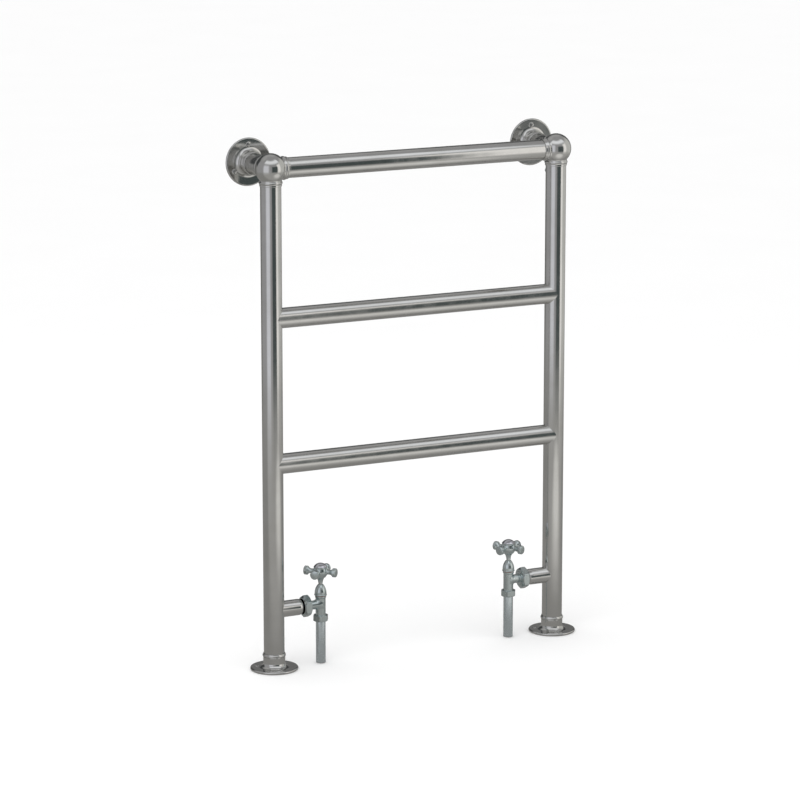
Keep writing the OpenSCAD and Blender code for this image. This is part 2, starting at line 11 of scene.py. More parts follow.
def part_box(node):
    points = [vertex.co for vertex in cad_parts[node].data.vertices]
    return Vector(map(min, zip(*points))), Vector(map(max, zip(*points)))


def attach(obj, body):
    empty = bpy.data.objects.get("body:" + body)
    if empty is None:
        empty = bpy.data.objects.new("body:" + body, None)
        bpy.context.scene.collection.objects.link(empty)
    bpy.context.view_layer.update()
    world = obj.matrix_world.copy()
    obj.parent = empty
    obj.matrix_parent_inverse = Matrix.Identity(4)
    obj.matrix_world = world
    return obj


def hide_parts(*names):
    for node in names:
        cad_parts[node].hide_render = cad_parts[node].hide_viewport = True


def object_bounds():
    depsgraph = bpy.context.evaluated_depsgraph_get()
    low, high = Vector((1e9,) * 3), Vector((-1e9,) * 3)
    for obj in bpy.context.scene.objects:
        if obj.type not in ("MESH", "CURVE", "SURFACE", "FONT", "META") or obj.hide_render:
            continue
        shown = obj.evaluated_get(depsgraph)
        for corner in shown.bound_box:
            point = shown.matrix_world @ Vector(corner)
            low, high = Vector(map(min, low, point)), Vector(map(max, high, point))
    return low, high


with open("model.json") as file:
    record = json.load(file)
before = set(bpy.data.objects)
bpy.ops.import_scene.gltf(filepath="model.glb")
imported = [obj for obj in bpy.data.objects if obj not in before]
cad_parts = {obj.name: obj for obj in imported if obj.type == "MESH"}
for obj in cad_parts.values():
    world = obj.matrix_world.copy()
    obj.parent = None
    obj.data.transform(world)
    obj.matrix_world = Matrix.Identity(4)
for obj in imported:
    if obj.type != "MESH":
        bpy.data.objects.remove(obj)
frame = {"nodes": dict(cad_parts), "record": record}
CAD_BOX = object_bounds()
RECORD = frame["record"]
SCENE = bpy.context.scene
MM = 0.001
SIDES = {"left": -1, "right": 1}


# ----- measures from the frame, in millimetres -----

def corners(node):
    low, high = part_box(node)
    return low / MM, high / MM


def size(node):
    low, high = corners(node)
    return high - low


def middle(node):
    low, high = corners(node)
    return (low + high) / 2


def local_box(node, place):
    """Lowest and highest corner of a node in a local frame."""
    inverse = place.inverted()
    ends = [inverse @ corner for corner in corners(node)]
    return Vector(map(min, *ends)), Vector(map(max, *ends))


POST_R = size("left_post").x / 2
RAIL_R = size("middle_rail").z / 2
POST_X = middle("right_post").x
POST_Y = middle("right_post").y
BALL_Z = middle("top_rail").z
WALL_Y = corners("left_wall_flange")[1].y
SPIGOT_Z = middle("left_spigot").z
VALVE_REACH = POST_X - middle("right_spindle").x


def shifted(x, y, z):
    return Matrix.Translation((x, y, z))


def turned(degrees, axis):
    return Matrix.Rotation(math.radians(degrees), 4, axis)


def at_post(side):
    """Post axis at the origin, with +X pointing inboard on both sides."""
    return shifted(side * POST_X, POST_Y, 0) @ turned(90 + 90 * side, "Z")


def at_spigot(side):
    """Post axis at the origin, with +Z pointing inboard along the spigot."""
    return at_post(side) @ shifted(0, 0, SPIGOT_Z) @ ALONG_X


def at_valve(side):
    """Spindle axis at the origin, Z = 0 at the spigot axis, and the post towards -X."""
    return at_post(side) @ shifted(VALVE_REACH, 0, SPIGOT_Z)


def at_ball(side):
    """Ball centre at the origin, the rail towards +X and the wall towards +Y."""
    mirrored = Matrix.Scale(-side, 4, (1, 0, 0))
    return shifted(side * POST_X, POST_Y, BALL_Z) @ mirrored


def at_wall(side):
    """Back of the wall flange at the origin, with +Z pointing into the room."""
    return shifted(side * POST_X, WALL_Y, BALL_Z) @ turned(90, "X")


def at_floor(side):
    """Post axis at the origin, on the floor, with +Z pointing up."""
    return shifted(side * POST_X, POST_Y, 0) @ turned(180, "Z")


ALONG_X = turned(90, "Y")
ALONG_Y = turned(-90, "X")


# ----- shapes -----

class Shape:
    """Points in millimetres, faces, and exact normals where the surface has a formula."""

    def __init__(self, points, faces, normals=None):
        self.points = np.asarray(points, float)
        self.faces = faces
        self.normals = normals

    def moved(self, place):
        matrix = np.array(place)
        turn = matrix[:3, :3]
        faces = self.faces
        if np.linalg.det(turn) < 0:  # a mirrored place turns faces inside out
            faces = [face[::-1] for face in faces]
        normals = None if self.normals is None else self.normals @ turn.T
        return Shape(self.points @ turn.T + matrix[:3, 3], faces, normals)


def joined(shapes):
    points = np.concatenate([shape.points for shape in shapes])
    faces = []
    first = 0
    for shape in shapes:
        faces += [[first + i for i in face] for face in shape.faces]
        first += len(shape.points)
    return Shape(points, faces)


def rings_to_shape(rings, closed=False):
    """Skin over rings of equal count. A ring with one point closes an end."""
    points = []
    index = []
    for ring in rings:
        index.append([len(points) + i for i in range(len(ring))])
        points += ring
    count = max(len(ring) for ring in rings)
    index = [ring * count if len(ring) == 1 else ring for ring in index]
    following = index[1:] + index[:1] if closed else index[1:]
    faces = []
    for low, high in zip(index, following):
        for i in range(count):
            j = (i + 1) % count
            face = [low[i], low[j], high[j], high[i]]
            faces.append(list(dict.fromkeys(face)))
    return Shape(points, faces)


def circle(radius, height, sectors):
    if not radius:
        return [(0, 0, height)]
    turns = np.arange(sectors) * 2 * math.pi / sectors
    return [(radius * math.cos(t), radius * math.sin(t), height) for t in turns]


SECTORS = 96
FINE_SECTORS = 160
CORNER_STEPS = 4


def lathe(outline, closed=False, sectors=SECTORS):
    """Surface turned about Z from (radius, height) points. A closed outline makes a ring."""
    return rings_to_shape([circle(r, z, sectors) for r, z in outline], closed)


def arc(centre, radius, start, end, steps):
    """Points on an arc in (radius, height), angles in degrees from the radius axis."""
    angles = np.radians(np.linspace(start, end, steps + 1))
    r, z = centre
    return [(r + radius * math.cos(a), z + radius * math.sin(a)) for a in angles]


def soften(outline, rounding):
    """Closed outline of (radius, height) points whose corners are turned into arcs."""
    points = []
    for i, corner in enumerate(outline):
        here = Vector(corner)
        before = (Vector(outline[i - 1]) - here).normalized()
        after = (Vector(outline[(i + 1) % len(outline)]) - here).normalized()
        half = before.angle(after) / 2
        centre = here + (before + after).normalized() * rounding / math.sin(half)
        start = here + before * rounding / math.tan(half) - centre
        sweep = math.pi - 2 * half
        if before.x * after.y - before.y * after.x > 0:
            sweep = -sweep
        for step in range(CORNER_STEPS + 1):
            swung = Matrix.Rotation(sweep * step / CORNER_STEPS, 2) @ start
            points.append(tuple(centre + swung))
    return points


# ----- surfaces from a distance formula, negative inside -----

def bar(radial, along, radius, start, end, edge=0.0):
    """Round bar with its two end edges rounded."""
    out = radial - (radius - edge)
    past = np.abs(along - (start + end) / 2) - ((end - start) / 2 - edge)
    beyond = np.hypot(np.maximum(out, 0), np.maximum(past, 0))
    return beyond + np.minimum(np.maximum(out, past), 0) - edge


def hoop(radial, along, radius, height, thickness):
    return np.hypot(radial - radius, along - height) - thickness


def filleted(a, b, fillet):
    """Union with a round fillet in the corner."""
    inner = np.hypot(np.maximum(fillet - a, 0), np.maximum(fillet - b, 0))
    return np.maximum(fillet, np.minimum(a, b)) - inner


def both(a, b, edge):
    """Intersection with a rounded edge."""
    return -filleted(-a, -b, edge)


def without(a, b, edge):
    """Difference with a rounded edge."""
    return both(a, -b, edge)


def hexagon(u, v, across, edge):
    """Hexagonal prism with a corner on the u axis."""
    sides = []
    for degrees in (30, 90, 150):
        turn = math.radians(degrees)
        sides.append(np.abs(math.cos(turn) * u + math.sin(turn) * v) - across / 2)
    return both(both(sides[0], sides[1], edge), sides[2], edge)


def corner_radius(across):
    return across / 2 / math.cos(math.radians(30))


def cone_cut(radial, along, small, large, start, end):
    """Chamfer from radius small at start to radius large at end."""
    rise = abs(end - start)
    spread = large - small
    slant = math.hypot(rise, spread)
    inward = (along - start) * np.sign(end - start)
    return ((radial - small) * rise - inward * spread) / slant


def nut(u, v, along, across, start, end, chamfers, edge):
    """Hexagon nut. chamfers are (radius at the face, depth) for the start and the end."""
    radial = np.hypot(u, v)
    corner = corner_radius(across)
    solid = both(hexagon(u, v, across, 2 * edge), start - along, edge)
    solid = both(solid, along - end, edge)
    for face, (small, depth) in zip((start, end), chamfers):
        inner = face + depth if face == start else face - depth
        solid = both(solid, cone_cut(radial, along, small, corner, face, inner), edge)
    return solid


NUDGE = 0.01
SETTLE_ROUNDS = 5
# Least squared slope and least length to divide by
FLAT = 1e-4
TINY = 1e-9


def slope(field, points):
    """Value and gradient of a field at some points."""
    value = field(*points.T)
    gradient = np.empty_like(points)
    for axis in range(3):
        ahead = points.copy()
        behind = points.copy()
        ahead[:, axis] += NUDGE
        behind[:, axis] -= NUDGE
        gradient[:, axis] = (field(*ahead.T) - field(*behind.T)) / (2 * NUDGE)
    return value, gradient


def settle(field, points, reach):
    """Moves points onto the zero level and returns them with the surface normals."""
    for _ in range(SETTLE_ROUNDS):
        value, gradient = slope(field, points)
        steep = np.maximum((gradient ** 2).sum(1), FLAT)
        step = gradient * (value / steep)[:, None]
        length = np.linalg.norm(step, axis=1, keepdims=True)
        points = points - step * np.minimum(1, reach / np.maximum(length, TINY))
    gradient = slope(field, points)[1]
    length = np.linalg.norm(gradient, axis=1, keepdims=True)
    return points, gradient / np.maximum(length, TINY)


def cut_edges(value, axis):
    """Grid edges along an axis that cross the surface, where they do, and which point inwards."""
    first = [slice(None)] * 3
    second = [slice(None)] * 3
    first[axis] = slice(None, -1)
    second[axis] = slice(1, None)
    first, second = value[tuple(first)], value[tuple(second)]
    crossing = (first < 0) != (second < 0)
    start, end = first[crossing], second[crossing]
    edge = np.argwhere(crossing)
    where = edge.astype(float)
    where[:, axis] += start / (start - end)
    return edge, where, start > 0


def cells_around(edge, axis, cells):
    """The four grid cells that share each edge, in order round it."""
    around = []
    for across, up in ((0, 0), (-1, 0), (-1, -1), (0, -1)):
        cell = edge.copy()
        cell[:, (axis + 1) % 3] += across
        cell[:, (axis + 2) % 3] += up
        around.append(np.ravel_multi_index(tuple(cell.T), tuple(cells)))
    return np.stack(around, 1)


def net(field, low, high, cell):
    """Closed quad surface where field(x, y, z) is zero, between two corners.

    Each grid cell that the surface passes through holds one point, and each grid edge that
    crosses the surface makes a quad of the four cells round it.
    """
    low = np.array(low, float) - 2 * cell
    counts = np.ceil((np.array(high, float) + 2 * cell - low) / cell).astype(int) + 1
    x, y, z = [low[i] + cell * np.arange(counts[i]) for i in range(3)]
    value = field(x[:, None, None], y[None, :, None], z[None, None, :])
    homes = []
    places = []
    quads = []
    for axis in range(3):
        edge, where, inward = cut_edges(value, axis)
        quad = cells_around(edge, axis, counts - 1)
        homes += list(quad.T.copy())
        places += [where] * 4
        quad[inward] = quad[inward][:, ::-1]
        quads.append(quad)
    used, index = np.unique(np.concatenate(homes), return_inverse=True)
    places = np.concatenate(places)
    weight = np.bincount(index)
    points = np.stack([np.bincount(index, places[:, i]) / weight for i in range(3)], 1)
    points, normals = settle(field, low + cell * points, cell)
    faces = np.searchsorted(used, np.concatenate(quads))
    return Shape(points, faces.tolist(), normals)


def net_round_z(field, half, low, high, cell):
    """Net of a shape that stands on the Z axis and reaches half to each side."""
    return net(field, (-half, -half, low), (half, half, high), cell)


# ----- objects -----

BODY_OF = {n: body for body, names in RECORD["behaviour"]["bodies"].items() for n in names}
SLOT_OF = {part["node"]: part["material_slot"] for part in RECORD["subparts"]}


def add_object(name, data):
    obj = bpy.data.objects.new(name, data)
    SCENE.collection.objects.link(obj)
    return obj


def make_object(name, shape, crease):
    mesh = bpy.data.meshes.new(name)
    mesh.from_pydata((shape.points * MM).tolist(), [], shape.faces)
    mesh.shade_smooth()
    if shape.normals is None:
        work = bmesh.new()
        work.from_mesh(mesh)
        bmesh.ops.recalc_face_normals(work, faces=work.faces)
        work.to_mesh(mesh)
        work.free()
        mesh.set_sharp_from_angle(angle=math.radians(crease))
    else:
        mesh.normals_split_custom_set_from_vertices(shape.normals.tolist())
    return add_object(name, mesh)


def stand_in(node, shape, material=None, crease=35):
    """Shows a fine mesh in place of a CAD node, on the same body and material slot."""
    piece = make_object(node + "_finish", shape, crease)
    piece.data.materials.append(material or MATERIALS[SLOT_OF[node]])
    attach(piece, BODY_OF[node])
    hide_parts(node)


# ----- materials -----

# Noise cells per metre
CLOUDS = 9
SMUDGES = 38
WAVES = 26
# Lengths in metres
WAVE_DEPTH = 0.0006
LINE_DEPTH = 0.00005
GROOVE_REACH = 0.004
# Colour of a groove's painted shade and grime as a share of the dull colour, and the groove's
# added roughness
GRIME_AND_PAINTED_SHADE = 0.28
GRIME_ROUGHNESS = 0.25
NICKEL = (0.70, 0.695, 0.68)
NICKEL_DULL = (0.64, 0.635, 0.615)
VALVE_TINT = (0.65, 0.71, 0.71)
VALVE_DULL = (0.56, 0.62, 0.62)


def link(tree, source, target):
    tree.links.new(source, target)


def math_node(tree, operation, *inputs):
    node = tree.nodes.new("ShaderNodeMath")
    node.operation = operation
    for socket, value in zip(node.inputs, inputs):
        if isinstance(value, (int, float)):
            socket.default_value = value
        else:
            link(tree, value, socket)
    return node.outputs[0]


def map_range(tree, value, from_low, from_high, to_low, to_high, smooth=False):
    node = tree.nodes.new("ShaderNodeMapRange")
    node.interpolation_type = "SMOOTHSTEP" if smooth else "LINEAR"
    link(tree, value, node.inputs["Value"])
    limits = {"From Min": from_low, "From Max": from_high, "To Min": to_low, "To Max": to_high}
    for name, limit in limits.items():
        node.inputs[name].default_value = limit
    return node.outputs["Result"]


def mix_colour(tree, factor, first, second):
    node = tree.nodes.new("ShaderNodeMix")
    node.data_type = "RGBA"
    link(tree, factor, node.inputs["Factor"])
    sockets = [socket for socket in node.inputs if socket.type == "RGBA"]
    for socket, value in zip(sockets, (first, second)):
        if isinstance(value, tuple):
            socket.default_value = (*value, 1)
        else:
            link(tree, value, socket)
    return [socket for socket in node.outputs if socket.type == "RGBA"][0]


def stretched(tree, scale):
    """Object coordinates scaled per metre, by one number or by one for each axis."""
    source = tree.nodes.new("ShaderNodeTexCoord")
    mapping = tree.nodes.new("ShaderNodeMapping")
    mapping.inputs["Scale"].default_value = scale if isinstance(scale, tuple) else (scale,) * 3
    link(tree, source.outputs["Object"], mapping.inputs["Vector"])
    return mapping.outputs["Vector"]


def noise(tree, scale, detail, roughness=0.5):
    node = tree.nodes.new("ShaderNodeTexNoise")
    node.inputs["Scale"].default_value = 1.0
    node.inputs["Detail"].default_value = detail
    node.inputs["Roughness"].default_value = roughness
    link(tree, stretched(tree, scale), node.inputs["Vector"])
    return node.outputs["Fac"]


def bump(tree, height, strength, depth, under=None):
    node = tree.nodes.new("ShaderNodeBump")
    node.inputs["Strength"].default_value = strength
    node.inputs["Distance"].default_value = depth
    link(tree, height, node.inputs["Height"])
    if under is not None:
        link(tree, under, node.inputs["Normal"])
    return node.outputs["Normal"]


def crevice(tree):
    """Occlusion mask for painted shade and grime: 0 in the open and 1 deep in a groove of the
    piece itself.
    """
    node = tree.nodes.new("ShaderNodeAmbientOcclusion")
    node.samples = 6
    node.only_local = True
    node.inputs["Distance"].default_value = GROOVE_REACH
    return map_range(tree, node.outputs["AO"], 0.25, 0.8, 1.0, 0.0, smooth=True)


def new_material(name):
    material = bpy.data.materials.new(name)
    material.use_nodes = True
    tree = material.node_tree
    return material, tree, tree.nodes["Principled BSDF"]


def feed(tree, shader, colour, rough, normal):
    link(tree, colour, shader.inputs["Base Color"])
    link(tree, rough, shader.inputs["Roughness"])
    link(tree, normal, shader.inputs["Normal"])


def metal(name, bright, dull, gloss, satin, grain, relief, grime_and_shade=0.0):
    """Plated or bare metal: clouded colour, smudged gloss, polishing lines and faint waviness.

    gloss and satin are the lowest and highest roughness, grain is the line density per
    metre, relief is how strong the lines are, and grime_and_shade is how much the grooves darken
    with painted shade and grime.
    """
    material, tree, shader = new_material(name)
    clouds = noise(tree, CLOUDS, detail=4, roughness=0.6)
    smudges = noise(tree, SMUDGES, detail=5, roughness=0.65)
    lines = noise(tree, grain, detail=3, roughness=0.7)
    waves = noise(tree, WAVES, detail=1)
    shade = map_range(tree, clouds, 0.35, 0.7, 0.0, 1.0, smooth=True)
    colour = mix_colour(tree, shade, bright, dull)
    rough = map_range(tree, smudges, 0.35, 0.72, gloss, satin, smooth=True)
    rough = math_node(tree, "ADD", rough, map_range(tree, lines, 0.5, 0.8, 0, satin - gloss))
    # Grooves found by ambient occlusion are darkened with painted shade and some grime, and they
    # also roughen
    if grime_and_shade:
        deep = crevice(tree)
        painted_shade_and_grime = math_node(tree, "MULTIPLY", deep, grime_and_shade)
        colour = mix_colour(tree, painted_shade_and_grime, colour, tuple(GRIME_AND_PAINTED_SHADE * c for c in dull))
        rougher = math_node(tree, "MULTIPLY", deep, GRIME_ROUGHNESS)
        rough = math_node(tree, "ADD", rough, rougher)
    wavy = bump(tree, waves, 0.25, WAVE_DEPTH)
    feed(tree, shader, colour, rough, bump(tree, lines, relief, LINE_DEPTH, wavy))
    shader.inputs["Metallic"].default_value = 1.0
    return material


def tube_nickel(axis):
    """Nickel-plated tube with fine polishing lines round it."""
    grain = tuple(2600 if name == axis else 60 for name in "XYZ")
    return metal("nickel_tube_" + axis.lower(), NICKEL, NICKEL_DULL, 0.1, 0.17, grain, 0.05)


# The groove darkening set in these looks is painted shade as well as grime
METALS = {
    "nickel_casting": dict(
        name="nickel_casting", bright=NICKEL, dull=NICKEL_DULL, gloss=0.07, satin=0.14,
        grain=900, relief=0.05, grime_and_shade=0.8),
    "valve_chrome": dict(
        name="valve_plate", bright=VALVE_TINT, dull=VALVE_DULL, gloss=0.14, satin=0.26,
        grain=1100, relief=0.1, grime_and_shade=0.8),
    "handle_chrome": dict(
        name="handle_plate", bright=VALVE_TINT, dull=VALVE_DULL, gloss=0.15, satin=0.28,
        grain=1200, relief=0.1, grime_and_shade=0.6),
    "cap_chrome": dict(
        name="cap_plate", bright=(0.78, 0.78, 0.82), dull=(0.72, 0.72, 0.77), gloss=0.07,
        satin=0.13, grain=700, relief=0.03),
    "sleeve_chrome": dict(
        name="sleeve_plate", bright=(0.78, 0.85, 0.88), dull=(0.70, 0.77, 0.80), gloss=0.16,
        satin=0.3, grain=(80, 80, 1500), relief=0.12),
    "spindle_chrome": dict(
        name="spindle_plate", bright=(0.64, 0.65, 0.64), dull=(0.55, 0.56, 0.55), gloss=0.12,
        satin=0.22, grain=(300, 300, 2400), relief=0.15),
    "screw_steel": dict(
        name="screw_steel", bright=(0.68, 0.68, 0.67), dull=(0.56, 0.56, 0.55), gloss=0.14,
        satin=0.26, grain=1500, relief=0.1, grime_and_shade=0.8),
    "turned_brass": dict(
        name="turned_brass", bright=(0.80, 0.62, 0.30), dull=(0.62, 0.45, 0.20), gloss=0.2,
        satin=0.36, grain=(250, 250, 2600), relief=0.25),
    "copper_pipe": dict(
        name="copper_pipe", bright=(0.83, 0.46, 0.31), dull=(0.55, 0.29, 0.20), gloss=0.22,
        satin=0.42, grain=(90, 90, 1200), relief=0.2),
}


def rubber():
    """Black moulded rubber with a faint bloom and a leathery surface."""
    material, tree, shader = new_material("black_rubber")
    bloom = noise(tree, 300, detail=6, roughness=0.7)
    grain = noise(tree, 2600, detail=2)
    colour = mix_colour(tree, bloom, (0.012, 0.012, 0.013), (0.045, 0.044, 0.042))
    rough = map_range(tree, bloom, 0.3, 0.7, 0.55, 0.8)
    feed(tree, shader, colour, rough, bump(tree, grain, 0.3, 0.0001))
    return material


def fibre():
    """Red-brown vulcanised fibre seal with pressed-in strands."""
    material, tree, shader = new_material("fibre_seal")
    strands = noise(tree, (2200, 260, 260), detail=5, roughness=0.75)
    crossing = noise(tree, (260, 2200, 2200), detail=5, roughness=0.75)
    weave = math_node(tree, "MAXIMUM", strands, crossing)
    colour = mix_colour(tree, weave, (0.20, 0.05, 0.03), (0.42, 0.15, 0.09))
    rough = map_range(tree, weave, 0.4, 0.8, 0.6, 0.85)
    feed(tree, shader, colour, rough, bump(tree, weave, 0.4, 0.0001))
    return material


def packing():
    """Graphited yarn wound round the spindle."""
    material, tree, shader = new_material("gland_packing")
    wave = tree.nodes.new("ShaderNodeTexWave")
    wave.inputs["Scale"].default_value = 1.0
    wave.inputs["Distortion"].default_value = 3.0
    wave.inputs["Detail"].default_value = 3.0
    link(tree, stretched(tree, (300, 300, 900)), wave.inputs["Vector"])
    yarn = wave.outputs["Fac"]
    colour = mix_colour(tree, yarn, (0.03, 0.03, 0.032), (0.13, 0.13, 0.135))
    rough = map_range(tree, yarn, 0.0, 1.0, 0.65, 0.4)
    feed(tree, shader, colour, rough, bump(tree, yarn, 0.5, 0.0002))
    return material


TUBE_NICKEL = {axis: tube_nickel(axis) for axis in "XYZ"}
MATERIALS = {slot: metal(**look) for slot, look in METALS.items()}
MATERIALS["nickel_tube"] = TUBE_NICKEL["Z"]
MATERIALS["fibre_seal"] = fibre()
MATERIALS["gland_packing"] = packing()
MATERIALS["black_rubber"] = rubber()


def finish_cad_nodes():
    """Gives every CAD node its procedural material."""
    for node, obj in frame["nodes"].items():
        material = MATERIALS[SLOT_OF[node]]
        if not obj.material_slots:
            obj.data.materials.append(material)
        for slot in obj.material_slots:
            slot.material = material


# ----- tubes -----

TUBE_WALL = 1.5
TUBE_EDGE = 0.3
BRAZE = 0.8
BRAZE_PINCH = 0.75
BRAZE_RINGS = 6
BRAZE_SINK = 0.02
# The covered end of a bar narrows a little inside the post, then closes
END_NARROWING = 0.92
END_DEPTH = 1.2
END_CLOSE = 0.7


def tube(radius, wall, low, high, sectors):
    inner = radius - wall
    outline = soften([(radius, low), (radius, high), (inner, high), (inner, low)], TUBE_EDGE)
    return lathe(outline, closed=True, sectors=sectors)


def braze_radius(sideways):
    """The braze is narrower at the flanks, where tube and post are nearly as wide."""
    return BRAZE * (1 - BRAZE_PINCH * sideways ** 2)


def coped_rings(radius, host_r, host_at, direction, sectors=FINE_SECTORS):
    """Rings along Z that end a bar on a host tube parallel to X, with a small braze fillet.

    host_at is the height of the host's axis, and direction is +1 or -1 towards it.
    """
    turns = np.arange(sectors) * 2 * math.pi / sectors
    steps = np.linspace(0, 1, BRAZE_RINGS)
    rings = [[] for _ in steps]
    for turn in turns:
        ahead, sideways = math.cos(turn), math.sin(turn)
        fillet = braze_radius(sideways)
        meet = math.sqrt(host_r ** 2 - (radius * sideways) ** 2)
        spread = radius + fillet
        land = math.sqrt(host_r ** 2 - (spread * sideways) ** 2)
        first = np.array((radius, -(meet + fillet)))
        corner = np.array((radius, -meet))
        last = np.array((spread, -land + BRAZE_SINK))
        for ring, t in zip(rings, steps):
            r, s = (1 - t) ** 2 * first + 2 * t * (1 - t) * corner + t ** 2 * last
            ring.append((r * ahead, r * sideways, host_at + direction * s))
    narrow, deep = END_NARROWING, direction * END_DEPTH
    rings.append([(narrow * x, narrow * y, z + deep) for x, y, z in rings[-1]])
    rings.append([(0, 0, host_at - direction * host_r * END_CLOSE)])
    return rings


def coped_rail(node):
    """Rail brazed between the posts, built along Z and turned along X."""
    upper = coped_rings(RAIL_R, POST_R, POST_X, 1)
    lower = coped_rings(RAIL_R, POST_R, -POST_X, -1)
    place = shifted(0, POST_Y, middle(node).z) @ ALONG_X
    return rings_to_shape(lower[::-1] + upper).moved(place)


def stand_in_tube(node, axis, radius, place):
    """Shows a fine tube along a world axis, as long as its node."""
    ends = [corner["XYZ".index(axis)] for corner in corners(node)]
    shape = tube(radius, TUBE_WALL, *ends, FINE_SECTORS)
    stand_in(node, shape.moved(place), TUBE_NICKEL[axis])


def make_tubes():
    for name, side in SIDES.items():
        post = shifted(side * POST_X, POST_Y, 0)
        stay = shifted(side * POST_X, 0, BALL_Z) @ ALONG_Y
        stand_in_tube(name + "_post", "Z", POST_R, post)
        stand_in_tube(name + "_wall_stay", "Y", POST_R, stay)
    rail = shifted(0, POST_Y, BALL_Z) @ ALONG_X
    stand_in_tube("top_rail", "X", RAIL_R, rail)
    for node in ("middle_rail", "lower_rail"):
        stand_in(node, coped_rail(node), TUBE_NICKEL["X"])


# ----- castings -----

BALL_R = corners("right_corner_ball")[1].x - POST_X
OUTLET_REACH = BALL_Z - corners("right_corner_ball")[0].z
TUBE_START = POST_R + 0.3
OUTLET_R = 20.2
BEAD_R = 3.75
BEAD_RING_R = 17.65
BALL_BEAD_AT = 24.5
FLANGE_BEAD_AT = 27
SOCKET_GAP = 0.05
SOCKET_FLOOR = 3
SOCKET_EDGE = 0.45
NECK_EDGE = 0.7
BEAD_FILLET = 0.5
BALL_FILLET = 0.8
BORE_EDGE = 0.2
CAST_CELL = 0.7
FLANGE_R = size("left_floor_flange").x / 2
FLANGE_H = size("left_floor_flange").z
FLANGE_T = 5
FLARE_R = 9
SCREW_RING_R = 32
SCREW_HOLE_R = 2.8
SCREW_HEAD_R = 4.9
SCREW_HEAD_H = 2.6
SCREW_TURNS = [90, 210, 330]


def screw_places():
    for degrees in SCREW_TURNS:
        turn = math.radians(degrees)
        yield SCREW_RING_R * math.cos(turn), SCREW_RING_R * math.sin(turn)


def ball_field(x, y, z):
    outlets = [
        (np.hypot(x, y), -z, POST_R),
        (np.hypot(y, z), x, RAIL_R),
        (np.hypot(x, z), y, POST_R),
    ]
    solid = np.sqrt(x ** 2 + y ** 2 + z ** 2) - BALL_R
    for radial, along, _ in outlets:
        neck = bar(radial, along, OUTLET_R, 0, OUTLET_REACH, NECK_EDGE)
        bead = hoop(radial, along, BEAD_RING_R, BALL_BEAD_AT, BEAD_R)
        solid = filleted(solid, filleted(neck, bead, BEAD_FILLET), BALL_FILLET)
    for radial, along, tube_r in outlets:
        socket = bar(radial, along, tube_r + SOCKET_GAP, TUBE_START - SOCKET_GAP, 2 * BALL_R)
        solid = without(solid, socket, SOCKET_EDGE)
    return solid


def screw_seat(around, z):
    """Countersunk hole, with a spot face where the flare of the flange would meet the head."""
    sink = FLANGE_T - SCREW_HEAD_H
    head_r = SCREW_HEAD_R + SOCKET_GAP
    taper = cone_cut(around, z, SCREW_HOLE_R, head_r, sink, FLANGE_T)
    seat = np.maximum(np.maximum(taper, sink - z), z - FLANGE_T)
    face = bar(around, z, head_r, FLANGE_T - 0.1, 2 * FLANGE_H)
    return np.minimum(np.minimum(around - SCREW_HOLE_R, seat), face)


def flange_field(x, y, z):
    radial = np.hypot(x, y)
    plate = bar(radial, z, FLANGE_R, 0, FLANGE_T, FLANGE_T / 2 - 0.05)
    neck = bar(radial, z, OUTLET_R, 0, FLANGE_H, NECK_EDGE)
    bead = hoop(radial, z, BEAD_RING_R, FLANGE_BEAD_AT, BEAD_R)
    socket = bar(radial, z, POST_R + SOCKET_GAP, SOCKET_FLOOR, 2 * FLANGE_H)
    solid = np.maximum(filleted(plate, neck, FLARE_R), -z)
    solid = without(filleted(solid, bead, BEAD_FILLET), socket, SOCKET_EDGE)
    for screw_x, screw_y in screw_places():
        seat = screw_seat(np.hypot(x - screw_x, y - screw_y), z)
        solid = without(solid, seat, BORE_EDGE)
    return solid


def make_castings():
    low, high = -(BALL_R + 1), OUTLET_REACH
    ball = net(ball_field, (low, low, -high), (high, high, -low), CAST_CELL)
    flange = net_round_z(flange_field, FLANGE_R + 0.5, -0.5, FLANGE_H, CAST_CELL)
    for name, side in SIDES.items():
        stand_in(name + "_corner_ball", ball.moved(at_ball(side)))
        stand_in(name + "_wall_flange", flange.moved(at_wall(side)))
        stand_in(name + "_floor_flange", flange.moved(at_floor(side)))


# ----- screws -----

SCREW_R = 2.5
SCREW_NECK_R = 2.75
SCREW_CORE_R = 1.75
SCREW_DOME_H = 1.3
SCREW_PITCH = 2.2
SCREW_TIP = 6
THREAD_SECTORS = 24
THREAD_ROW = 0.25
THREAD_RUN_IN = 3
THREAD_CREST = 0.28
SHANK_START = 0.6
SCREW_EDGE = 0.15
SLOT_W = 1.2
SLOT_DEPTH = 1.4
WALL_SCREW_OUT = corners("wall_screws")[1].y - WALL_Y


def screw_head_field(x, y, z):
    """Raised countersunk slotted head on the flange's face, with its plain neck."""
    radial = np.hypot(x, y)
    dome_r = (SCREW_HEAD_R ** 2 + SCREW_DOME_H ** 2) / (2 * SCREW_DOME_H)
    rise = FLANGE_T + SCREW_DOME_H - dome_r
    dome = np.sqrt(radial ** 2 + (z - rise) ** 2) - dome_r
    sink = FLANGE_T - SCREW_HEAD_H
    taper = cone_cut(radial, z, SCREW_NECK_R, SCREW_HEAD_R, sink, FLANGE_T)
    head = both(both(dome, taper, SCREW_EDGE), radial - SCREW_HEAD_R, SCREW_EDGE)
    head = np.maximum(head, sink - z)
    solid = filleted(head, bar(radial, z, SCREW_NECK_R, 0.3, FLANGE_T - 1, 0.1), 0.2)
    slot = np.maximum(np.abs(y) - SLOT_W / 2, FLANGE_T + SCREW_DOME_H - SLOT_DEPTH - z)
    return without(solid, slot, SCREW_EDGE)


